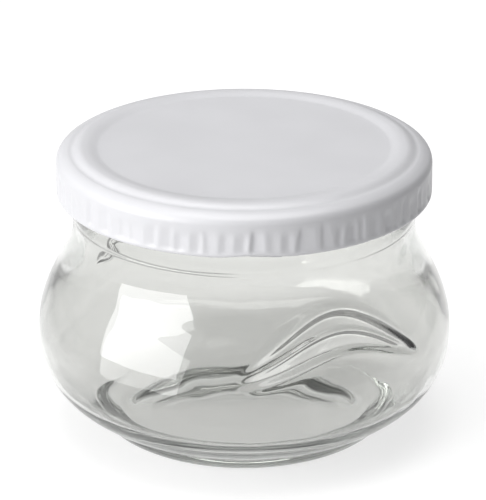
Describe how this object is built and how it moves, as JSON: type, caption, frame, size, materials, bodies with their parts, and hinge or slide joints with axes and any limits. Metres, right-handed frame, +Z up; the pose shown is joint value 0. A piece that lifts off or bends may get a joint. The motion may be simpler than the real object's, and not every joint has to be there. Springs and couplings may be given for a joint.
{
  "type": "canning jar",
  "caption": "Squat round clear glass canning jar, empty, with a pressed-in swirl on its shoulder, closed by a white fluted metal twist-off lid.",
  "frame": {"origin": "centre of the flat ring that the jar stands on", "axes": "+Z up along the jar's axis, towards the lid; -Y faces the viewer, with one pressed-in swirl between -Y and +X"},
  "size_m": [0.094, 0.0942, 0.0674],
  "materials": {
    "glass": "clear fire-polished soda-lime glass",
    "lid_enamel": "satin gloss white baked enamel on pressed tinplate"
  },
  "bodies": {
    "root": {"glass_jar": "glass", "lid": "lid_enamel"}
  },
  "joints": []
}
